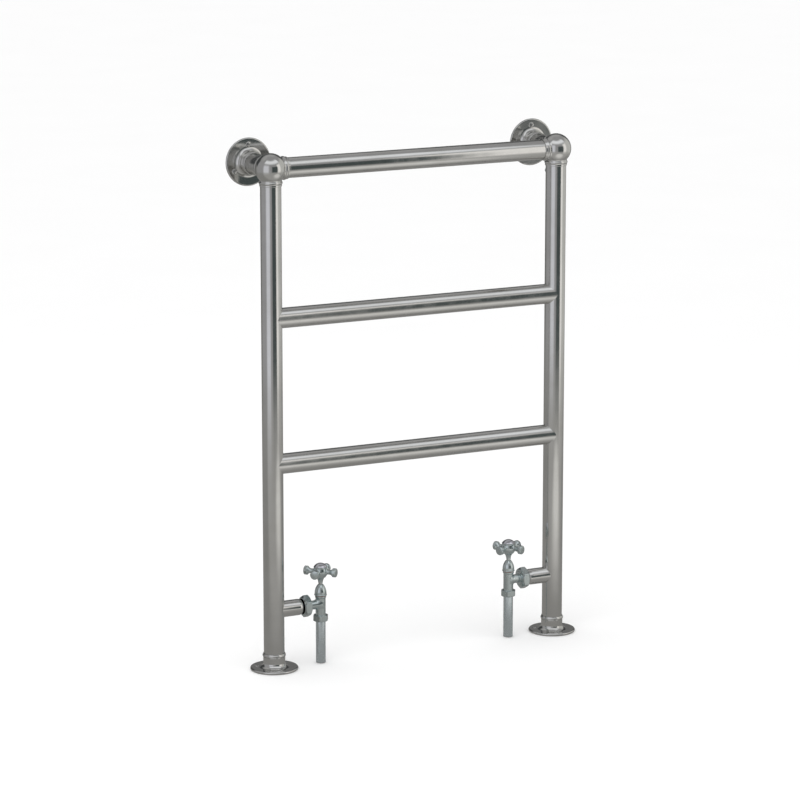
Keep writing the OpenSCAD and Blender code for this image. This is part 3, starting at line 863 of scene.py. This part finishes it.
def screw_thread(length):
    """Wood-screw shank below Z = 0: a helical thread that runs out to a point."""
    rows = int(length / THREAD_ROW)
    rings = [[(0, 0, SHANK_START)]]
    for row in range(rows + 1):
        depth = length * row / rows
        taper = min(1.0, (length - depth) / SCREW_TIP)
        core = SCREW_R + (SCREW_CORE_R - SCREW_R) * min(1.0, depth / THREAD_RUN_IN)
        ring = []
        for i in range(THREAD_SECTORS):
            turn = 2 * math.pi * i / THREAD_SECTORS
            phase = (depth / SCREW_PITCH + i / THREAD_SECTORS) % 1
            crest = max(0.0, 1 - abs(phase - 0.5) / THREAD_CREST)
            radius = (core + (SCREW_R - core) * crest) * taper
            ring.append((radius * math.cos(turn), radius * math.sin(turn), -depth))
        rings.append(ring)
    rings[-1] = [(0, 0, -length)]
    return rings_to_shape(rings)


def slot_turn(side, i):
    """Slots point all ways, as driven screws do."""
    return turned(35 + 71 * i + 20 * side, "Z")


def make_screws():
    top = FLANGE_T + SCREW_DOME_H
    head = net_round_z(screw_head_field, SCREW_HEAD_R + 0.3, 0, top, cell=0.3)
    whole = joined([head, screw_thread(WALL_SCREW_OUT)])
    groups = {"wall_screws": (at_wall, whole), "floor_screws": (at_floor, head)}
    for node, (place, screw) in groups.items():
        shapes = []
        for side in SIDES.values():
            for i, (x, y) in enumerate(screw_places()):
                spot = shifted(x, y, 0) @ slot_turn(side, i)
                shapes.append(screw.moved(place(side) @ spot))
        stand_in(node, joined(shapes), crease=50)


# ----- spigots and bleed valve -----

SHOULDER_START = 47
SHOULDER_R = 10.4
SHOULDER_STEPS = 12
SPIGOT_BORE_R = 9.3
SPIGOT_EDGE = 0.3
TAIL_START = 36
SPIGOT_R = size("left_spigot").z / 2
SPIGOT_END = local_box("left_spigot", at_post(-1))[1].x


def turned_on_post(radius, outline, sectors=SECTORS):
    """Bar along Z, brazed at its start to a post along X, that then follows an outline."""
    start = coped_rings(radius, POST_R, 0, -1, sectors)[::-1]
    return rings_to_shape(start + [circle(r, z, sectors) for r, z in outline])


def spigot_shape():
    run = SPIGOT_END - SHOULDER_START
    drop = SPIGOT_R - SHOULDER_R
    shoulder = []
    for turn in np.radians(np.linspace(0, 90, SHOULDER_STEPS + 1)):
        radius = SHOULDER_R + drop * math.cos(turn)
        shoulder.append((radius, SHOULDER_START + run * math.sin(turn)))
    mouth = [
        (SHOULDER_R - SPIGOT_EDGE, SPIGOT_END), (SPIGOT_BORE_R, SPIGOT_END),
        (SPIGOT_BORE_R, TAIL_START), (0, TAIL_START),
    ]
    return turned_on_post(SPIGOT_R, shoulder + mouth)


def make_spigots():
    for name, side in SIDES.items():
        stand_in(name + "_spigot", spigot_shape().moved(at_spigot(side)))


AT_BLEED = shifted(POST_X, POST_Y, middle("bleed_boss").z) @ ALONG_Y
BLEED_BOSS_R = size("bleed_boss").x / 2
BLEED_BOSS_END = local_box("bleed_boss", AT_BLEED)[1].z
BLEED_BOSS_BORE_R = 5
BLEED_BOSS_EDGE = 0.5
BLEED_BUSH_START = BLEED_BOSS_END + SOCKET_GAP
BLEED_BUSH_END = local_box("bleed_bush", AT_BLEED)[1].z
BLEED_BUSH_AF = 13
BLEED_HOLE_R = 2.35
BLEED_LOW, BLEED_HIGH = local_box("bleed_screw", AT_BLEED)
BLEED_HEAD_START = BLEED_BUSH_END + 6 * SOCKET_GAP
BLEED_SQUARE = 5
BLEED_CORNER_R = 3.3


def bleed_boss_shape():
    floor = POST_R + 1
    outline = [
        (BLEED_BOSS_R, BLEED_BOSS_END - BLEED_BOSS_EDGE),
        (BLEED_BOSS_R - BLEED_BOSS_EDGE, BLEED_BOSS_END),
        (BLEED_BOSS_BORE_R, BLEED_BOSS_END), (BLEED_BOSS_BORE_R, floor), (0, floor),
    ]
    # A quarter turn takes the post from X to Y here, which ALONG_Y then brings upright
    return turned_on_post(BLEED_BOSS_R, outline, sectors=64).moved(turned(90, "Z"))


def bleed_bush_field(x, y, z):
    chamfers = [(BLEED_BUSH_AF / 2, 0.5)] * 2
    solid = nut(x, y, z, BLEED_BUSH_AF, BLEED_BUSH_START, BLEED_BUSH_END, chamfers, 0.25)
    return without(solid, np.hypot(x, y) - BLEED_HOLE_R, BORE_EDGE)


def bleed_screw_field(x, y, z):
    radial = np.hypot(x, y)
    square = both(np.abs(x) - BLEED_SQUARE / 2, np.abs(y) - BLEED_SQUARE / 2, 0.3)
    square = both(square, radial - BLEED_CORNER_R, 0.2)
    head = both(both(square, BLEED_HEAD_START - z, 0.2), z - BLEED_HIGH.z, 0.4)
    shank = bar(radial, z, BLEED_HOLE_R - 0.15, BLEED_LOW.z, BLEED_HEAD_START + 1, 0.2)
    return np.minimum(head, shank)


def make_bleed_valve():
    bush = net_round_z(bleed_bush_field, 8, BLEED_BUSH_START, BLEED_BUSH_END, cell=0.25)
    screw = net_round_z(bleed_screw_field, 3.5, BLEED_LOW.z, BLEED_HIGH.z, cell=0.2)
    stand_in("bleed_boss", bleed_boss_shape().moved(AT_BLEED))
    stand_in("bleed_bush", bush.moved(AT_BLEED))
    stand_in("bleed_screw", screw.moved(AT_BLEED))


# ----- valves -----

BODY_R = 9.3
NECK_R = 7.8
RIM_R = 10.4
RIM_BOTTOM = 13
MALE_R = 9.9
MALE_TOP = -19.6
BOSS_R = 12.5
BOSS_T = 2.9
CHAMBER_R = 7.4
INSERT_R = 7.7
HEADGEAR_BOTTOM = 6
SEAT_Z = -7
SEAT_R = 4.8
PIPE_STOP = -12
OUTLET_BORE_R = 5.6
PIPE_R = size("left_feed_pipe").x / 2
PIPE_WALL = 0.7
SLEEVE_WALL = 0.9
LEFT_VALVE = at_valve(-1)
BODY_LOW, BODY_HIGH = local_box("left_valve_body", LEFT_VALVE)


def body_field(x, y, z):
    upright = np.hypot(x, y)
    across = np.hypot(y, z)
    outward = -x
    boss_end = -BODY_LOW.x
    boss_start = boss_end - BOSS_T
    barrel = bar(upright, z, BODY_R, MALE_TOP - 1, BODY_HIGH.z - 2, 0.4)
    rim = bar(upright, z, RIM_R, RIM_BOTTOM, BODY_HIGH.z, 0.5)
    male = bar(upright, z, MALE_R, BODY_LOW.z, MALE_TOP, 0.3)
    taper = BODY_R - (BODY_R - NECK_R) * outward / boss_start
    neck = np.maximum(both(across - taper, outward - boss_end + 0.5, 0.3), -outward)
    boss = bar(across, outward, BOSS_R, boss_start, boss_end, 0.4)
    solid = filleted(filleted(barrel, rim, 1.2), male, 0.2)
    solid = filleted(solid, filleted(neck, boss, 1.5), 2.5)
    bores = [
        bar(upright, z, CHAMBER_R, SEAT_Z, 2 * BODY_HIGH.z),
        bar(upright, z, INSERT_R, HEADGEAR_BOTTOM, 2 * BODY_HIGH.z),
        bar(upright, z, SEAT_R, BODY_LOW.z, 0),
        bar(upright, z, PIPE_R + SOCKET_GAP, 2 * BODY_LOW.z, PIPE_STOP),
        bar(across, outward, OUTLET_BORE_R, 0, 2 * boss_end),
    ]
    for bore in bores:
        solid = without(solid, bore, BORE_EDGE)
    return solid


UNION_AF = size("left_union_nut").y
UNION_CHAMFER = (UNION_AF / 2 - 2.6, 3.4)
UNION_BORE_R = 9.5
UNION_THREAD_R = 12.6
UNION_FLOOR = 62.8
COMPRESSION_AF = size("left_compression_nut").y
COMPRESSION_LIP = 6
UNION_LOW, UNION_HIGH = local_box("left_union_nut", at_post(-1))
COMPRESSION_LOW, COMPRESSION_HIGH = local_box("left_compression_nut", LEFT_VALVE)


def union_nut_field(x, y, z):
    solid = nut(x, y, z, UNION_AF, UNION_LOW.x, UNION_HIGH.x, [UNION_CHAMFER] * 2, 0.5)
    radial = np.hypot(x, y)
    thread = bar(radial, z, UNION_THREAD_R, UNION_FLOOR, 2 * UNION_HIGH.x)
    return without(without(solid, radial - UNION_BORE_R, 0.4), thread, 0.3)


def compression_nut_field(x, y, z):
    chamfers = [(COMPRESSION_AF / 2 - 2, 2.2), (COMPRESSION_AF / 2, 1.0)]
    low, high = COMPRESSION_LOW.z, COMPRESSION_HIGH.z
    solid = nut(x, y, z, COMPRESSION_AF, low, high, chamfers, 0.4)
    radial = np.hypot(x, y)
    thread = bar(radial, z, MALE_R + SOCKET_GAP, low + COMPRESSION_LIP, 2 * abs(low))
    return without(without(solid, radial - PIPE_R - 2 * SOCKET_GAP, 0.3), thread, 0.3)


BRIM_R = size("left_bell_cover").x / 2
BRIM_H = 2.2
BELL_SHOULDER_R = 10.9
BELL_TOP_R = 4.6
BELL_CURVE_R = 26
BELL_WALL = 0.8
BELL_HOLE_R = 3.9
BELL_ARC_STEPS = 20
COLLAR_R = 10.15
COLLAR_TOP = 19
BELL_LOW, BELL_HIGH = local_box("left_bell_cover", LEFT_VALVE)


def bell_curve(inset=0):
    """Swelling side of the bell from its shoulder to its top, as (radius, height) points."""
    foot = Vector((BELL_SHOULDER_R, BELL_LOW.z + BRIM_H))
    head = Vector((BELL_TOP_R, BELL_HIGH.z))
    chord = head - foot
    normal = Vector((chord.y, -chord.x)).normalized()
    sag = math.sqrt(BELL_CURVE_R ** 2 - (chord.length / 2) ** 2)
    centre = (foot + head) / 2 - normal * sag
    start = math.degrees(math.atan2(foot.y - centre.y, foot.x - centre.x))
    end = math.degrees(math.atan2(head.y - centre.y, head.x - centre.x))
    return arc(centre, BELL_CURVE_R - inset, start, end, BELL_ARC_STEPS)


def bell_shape():
    half = BRIM_H / 2
    bottom, top = BELL_LOW.z, BELL_HIGH.z
    shoulder = bottom + BRIM_H
    under = top - BELL_WALL
    brim = arc((BRIM_R - half, bottom + half), half, -90, 90, 10)
    cove = [(BELL_SHOULDER_R + 0.25, shoulder), (BELL_SHOULDER_R, shoulder + 0.35)]
    outer = bell_curve()[1:-1]
    lip = [(BELL_TOP_R - 0.15, top - 0.1), (BELL_TOP_R - 0.4, top), (BELL_HOLE_R, top)]
    inner = [(BELL_HOLE_R, under)]
    for r, z in reversed(bell_curve(BELL_WALL)):
        if r > BELL_HOLE_R and COLLAR_TOP < z < under - 0.1:
            inner.append((r, z))
    foot = [(COLLAR_R, COLLAR_TOP), (COLLAR_R, bottom)]
    return lathe(brim + cove + outer + lip + inner + foot, closed=True)


def pipe_shape(node, wall):
    low, high = local_box(node, LEFT_VALVE)
    return tube((high.x - low.x) / 2, wall, low.z, high.z, SECTORS)


# Handle heights are measured from the spigot axis
ARM_Z = 61.7
ARM_REACH = 32
ARM_NECK_R = 4.3
ARM_END_R = 8.3
ARM_FLARE_R = 9
ARM_FLARE_AT = 17.5
ARM_TIP_R = 40
HUB_TOP = 71
HUB_BOTTOM = 51
BELLY_R = 13.6
SKIRT_R = 4.3
SKIRT_CURVE_R = 14
CAP_SEAT = 68
CAP_STEM_R = 10.4
CAP_R = size("left_handle_cap").x / 2
STEM_R = 3.75
SPINDLE_SQUARE = 5.2
SPINDLE_TOP = 64
SCREW_WELL_R = 5
HANDLE_LOW, HANDLE_HIGH = local_box("left_handle", LEFT_VALVE)
HANDLE_TURNS = {"left": 43, "right": 28}
# A flared side's formula grows faster than distance, and is divided by this
FLARE_STRETCH = 1.5


def flared(along, neck, curve_r, start, limit):
    """Radius of a waisted bar that swells on an arc after start, up to a limit."""
    run = np.clip(along - start, 0, curve_r * 0.999)  # stops short of the arc's upright end
    return np.minimum(neck + curve_r - np.sqrt(curve_r ** 2 - run ** 2), limit)


def arm_field(radial, along):
    radius = flared(along, ARM_NECK_R, ARM_FLARE_R, ARM_FLARE_AT, ARM_END_R)
    side = (radial - radius) / FLARE_STRETCH
    tip = np.hypot(radial, along - ARM_REACH + ARM_TIP_R) - ARM_TIP_R
    return both(side, tip, 1.3)


def hub_field(radial, z):
    radius = flared(z, SKIRT_R, SKIRT_CURVE_R, HANDLE_LOW.z + 1, BELLY_R - 1)
    skirt = both((radial - radius) / FLARE_STRETCH, HANDLE_LOW.z - z, 0.5)
    skirt = np.maximum(skirt, z - HUB_BOTTOM - 1)
    belly = np.maximum(np.hypot(radial, z - ARM_Z) - BELLY_R, z - HUB_TOP + 2)
    crown = bar(radial, z, CAP_R, ARM_Z, HUB_TOP, 0.5)
    return filleted(filleted(belly, crown, 0.8), skirt, 0.8)


def handle_field(x, y, z):
    radial = np.hypot(x, y)
    arms = np.minimum(
        arm_field(np.hypot(y, z - ARM_Z), np.abs(x)),
        arm_field(np.hypot(x, z - ARM_Z), np.abs(y)),
    )
    solid = filleted(hub_field(radial, z), arms, 1.6)
    square = np.maximum(np.abs(x), np.abs(y)) - SPINDLE_SQUARE / 2 - SOCKET_GAP
    holes = [
        bar(radial, z, STEM_R + SOCKET_GAP, 0, HUB_BOTTOM + SOCKET_GAP),
        np.maximum(square, HUB_BOTTOM - z),
        bar(radial, z, SCREW_WELL_R, SPINDLE_TOP + SOCKET_GAP, 2 * HUB_TOP),
        bar(radial, z, CAP_STEM_R + SOCKET_GAP, CAP_SEAT, 2 * HUB_TOP),
    ]
    for hole in holes:
        solid = without(solid, hole, BORE_EDGE)
    return solid


def cap_shape():
    """Domed button whose spigot sits in the top of the hub."""
    low, high = local_box("left_handle_cap", LEFT_VALVE)
    base = HUB_TOP + SOCKET_GAP
    dome_h = high.z - base
    dome_r = (CAP_R ** 2 + dome_h ** 2) / (2 * dome_h)
    start = math.degrees(math.asin(1 - dome_h / dome_r)) + 3
    dome = arc((0, high.z - dome_r), dome_r, start, 90, 18)
    edge = [(CAP_R - 0.45, base), (CAP_R - 0.1, base + 0.15), (CAP_R, base + 0.45)]
    stem = [(0, low.z), (CAP_STEM_R, low.z), (CAP_STEM_R, base)]
    return lathe(stem + edge + dome[:-1] + [(0, high.z)])


def valve_shapes():
    """Shapes that both valves share: the union nut along its spigot, the rest on the spindle."""
    union, lower = corner_radius(UNION_AF) + 0.5, corner_radius(COMPRESSION_AF) + 0.5
    return {
        "valve_body": net(
            body_field, (BODY_LOW.x, -BOSS_R, BODY_LOW.z), (MALE_R + 1, BOSS_R, BODY_HIGH.z),
            cell=0.5),
        "union_nut": net_round_z(union_nut_field, union, UNION_LOW.x, UNION_HIGH.x, cell=0.5),
        "compression_nut": net_round_z(
            compression_nut_field, lower, COMPRESSION_LOW.z, COMPRESSION_HIGH.z, cell=0.45),
        "bell_cover": bell_shape(),
        "pipe_sleeve": pipe_shape("left_pipe_sleeve", SLEEVE_WALL),
        "feed_pipe": pipe_shape("left_feed_pipe", PIPE_WALL),
        "handle": net_round_z(
            handle_field, ARM_REACH + 0.5, HANDLE_LOW.z, HANDLE_HIGH.z + 0.5, cell=0.6),
        "handle_cap": cap_shape(),
    }


def make_valves():
    shapes = valve_shapes()
    for name, side in SIDES.items():
        handle = at_valve(side) @ turned(HANDLE_TURNS[name], "Z")
        places = {"union_nut": at_spigot(side), "handle": handle}
        for part, shape in shapes.items():
            stand_in(f"{name}_{part}", shape.moved(places.get(part, at_valve(side))))


# ----- studio -----

# Angles in degrees, lengths in metres; the aim is from the middle of the part
CAMERA_AZIMUTH = -26.5
CAMERA_ELEVATION = 12
CAMERA_DISTANCE = 6.6
CAMERA_AIM = Vector((-0.0104, 0.0014, -0.0156))
LENS_MM = 160.9
SENSOR_MM = 36
FLOOR_HALF = 60
FLOOR_FADE_START = 1.0
FLOOR_FADE_END = 4.2
FLOOR_BEHIND = 0.29
FLOOR_BEFORE = 0.4
PATCH_AT = (0.39, -0.96, 0)
PATCH_LIGHT = 0.34
PATCH_INNER = 0.25
PATCH_OUTER = 0.8
ROOM_LIGHT = 1.06
LAMP_AZIMUTH = -60
LAMP_ELEVATION = 60
LAMP_SIZE = 2.2
LAMP_POWER = 12
LAMP_DISTANCE = 3


def direction(azimuth, elevation):
    """Unit vector towards an azimuth, with 0 at -Y and 90 at +X, and an elevation."""
    a, e = math.radians(azimuth), math.radians(elevation)
    return Vector((math.sin(a) * math.cos(e), -math.cos(a) * math.cos(e), math.sin(e)))


def make_camera():
    centre = (CAD_BOX[0] + CAD_BOX[1]) / 2
    data = bpy.data.cameras.new("camera")
    data.lens = LENS_MM
    data.sensor_width = SENSOR_MM
    data.clip_end = 100
    camera = add_object("camera", data)
    camera.location = centre + direction(CAMERA_AZIMUTH, CAMERA_ELEVATION) * CAMERA_DISTANCE
    towards = centre + CAMERA_AIM - camera.location
    camera.rotation_euler = towards.to_track_quat("-Z", "Y").to_euler()
    SCENE.camera = camera


def plane(name, half, z):
    square = [(-half, -half, z), (half, -half, z), (half, half, z), (-half, half, z)]
    mesh = bpy.data.meshes.new(name)
    mesh.from_pydata(square, [], [(0, 1, 2, 3)])
    obj = add_object(name, mesh)
    return obj


def pale_floor():
    material, tree, shader = new_material("pale_floor")
    mottle = noise(tree, 3, detail=3)
    colour = mix_colour(tree, mottle, (0.93, 0.93, 0.93), (0.95, 0.95, 0.95))
    link(tree, colour, shader.inputs["Base Color"])
    shader.inputs["Roughness"].default_value = 0.9
    shader.inputs["Specular IOR Level"].default_value = 0.1
    return material


def make_floor():
    """Pale floor for the eye, and a studio floor that only reflections see."""
    floor = plane("floor", FLOOR_HALF, 0)
    floor.visible_glossy = False
    floor.data.materials.append(pale_floor())
    mirror = plane("reflected_floor", FLOOR_FADE_END, -0.002)
    mirror.visible_camera = False
    mirror.visible_diffuse = False
    mirror.visible_shadow = False
    mirror.data.materials.append(reflected_floor())


def mix_to_output(tree, output, factor, first, second):
    """Ends a tree in a mix of two shaders."""
    mixer = tree.nodes.new("ShaderNodeMixShader")
    link(tree, factor, mixer.inputs["Fac"])
    link(tree, first.outputs[0], mixer.inputs[1])
    link(tree, second.outputs[0], mixer.inputs[2])
    link(tree, mixer.outputs[0], tree.nodes.new(output).inputs["Surface"])


def far_from(tree, position, point):
    """Distance of the shaded position from a point."""
    node = tree.nodes.new("ShaderNodeVectorMath")
    node.operation = "DISTANCE"
    link(tree, position, node.inputs[0])
    node.inputs[1].default_value = point
    return node.outputs["Value"]


def reflected_floor():
    """Floor that is brighter before the radiator, with a light patch, and fades out far off."""
    material, tree, _ = new_material("reflected_floor")
    tree.nodes.clear()
    spot = tree.nodes.new("ShaderNodeTexCoord").outputs["Object"]
    split = tree.nodes.new("ShaderNodeSeparateXYZ")
    link(tree, spot, split.inputs[0])
    base = map_range(
        tree, split.outputs["Y"], -0.02, -0.4, FLOOR_BEHIND, FLOOR_BEFORE, smooth=True)
    patch = map_range(
        tree, far_from(tree, spot, PATCH_AT), PATCH_INNER, PATCH_OUTER, PATCH_LIGHT, 0.0,
        smooth=True)
    fade = map_range(
        tree, far_from(tree, spot, (0, 0, 0)), FLOOR_FADE_START, FLOOR_FADE_END, 0.0, 1.0,
        smooth=True)
    glow = tree.nodes.new("ShaderNodeEmission")
    glow.inputs["Color"].default_value = (1.0, 0.99, 0.96, 1)
    link(tree, math_node(tree, "ADD", base, patch), glow.inputs["Strength"])
    clear = tree.nodes.new("ShaderNodeBsdfTransparent")
    mix_to_output(tree, "ShaderNodeOutputMaterial", fade, glow, clear)
    return material


# Studio surroundings, each laid over the ones before it: centre azimuth, half width,
# lowest and highest elevation, softness, all in degrees, and the light they send
SURROUNDINGS = [
    (155, 55, -90, 40, 14, (0.18, 0.18, 0.175)),
    (160, 62, 6, 34, 5, (0.055, 0.058, 0.06)),
    (153, 18, 7, 20, 3, (0.18, 0.18, 0.18)),
    (-110, 26, -40, 40, 12, (0.36, 0.36, 0.37)),
    (84, 34, -40, 40, 10, (0.58, 0.58, 0.56)),
    (-57, 21, -40, 30, 9, (0.72, 0.73, 0.78)),
    (42, 14, -40, 32, 5, (0.98, 0.96, 0.93)),
    (9, 22, -22, 21, 5, (0.07, 0.085, 0.085)),
    (-10, 74, 41, 66, 9, (0.92, 0.94, 0.97)),
    (188, 60, 45, 68, 10, (0.42, 0.42, 0.42)),
]
AMBIENT = (0.34, 0.34, 0.345)


def window(tree, value, low, high, soft):
    rise = map_range(tree, value, low - soft, low + soft, 0.0, 1.0, smooth=True)
    fall = map_range(tree, value, high - soft, high + soft, 1.0, 0.0, smooth=True)
    return math_node(tree, "MULTIPLY", rise, fall)


def surroundings(tree):
    """Colour of the studio in each direction, which only reflections see."""
    source = tree.nodes.new("ShaderNodeTexCoord")
    split = tree.nodes.new("ShaderNodeSeparateXYZ")
    link(tree, source.outputs["Generated"], split.inputs[0])
    forward = math_node(tree, "MULTIPLY", split.outputs["Y"], -1.0)
    azimuth = math_node(tree, "ARCTAN2", split.outputs["X"], forward)
    azimuth = math_node(tree, "MULTIPLY", azimuth, 180 / math.pi)
    elevation = math_node(tree, "ARCSINE", split.outputs["Z"])
    elevation = math_node(tree, "MULTIPLY", elevation, 180 / math.pi)
    colour = AMBIENT
    for centre, half, low, high, soft, light in SURROUNDINGS:
        offset = math_node(tree, "SUBTRACT", azimuth, centre)
        offset = math_node(tree, "WRAP", offset, 180.0, -180.0)
        aside = math_node(tree, "ABSOLUTE", offset)
        sideways = map_range(tree, aside, half - soft, half + soft, 1.0, 0.0, smooth=True)
        inside = math_node(tree, "MULTIPLY", sideways, window(tree, elevation, low, high, soft))
        colour = mix_colour(tree, inside, colour, light)
    return colour


def make_world():
    world = bpy.data.worlds.new("studio")
    SCENE.world = world
    world.use_nodes = True
    tree = world.node_tree
    tree.nodes.clear()
    path = tree.nodes.new("ShaderNodeLightPath")
    reflected = tree.nodes.new("ShaderNodeBackground")
    link(tree, surroundings(tree), reflected.inputs["Color"])
    plain = tree.nodes.new("ShaderNodeBackground")
    plain.inputs["Color"].default_value = (1.0, 1.0, 1.0, 1)
    plain.inputs["Strength"].default_value = ROOM_LIGHT
    glossy = path.outputs["Is Glossy Ray"]
    mix_to_output(tree, "ShaderNodeOutputWorld", glossy, plain, reflected)


def make_light():
    """Large soft light above and to the left, which shades the floor gently."""
    data = bpy.data.lights.new("overhead_light", "AREA")
    data.shape = "DISK"
    data.size = LAMP_SIZE
    data.energy = LAMP_POWER
    light = add_object("overhead_light", data)
    light.location = direction(LAMP_AZIMUTH, LAMP_ELEVATION) * LAMP_DISTANCE
    light.rotation_euler = (-light.location).to_track_quat("-Z", "Y").to_euler()
    light.visible_glossy = False
    light.visible_camera = False


make_camera()
finish_cad_nodes()
make_tubes()
make_castings()
make_screws()
make_spigots()
make_bleed_valve()
make_valves()
make_floor()
make_world()
make_light()
SCENE.view_settings.view_transform = "Standard"
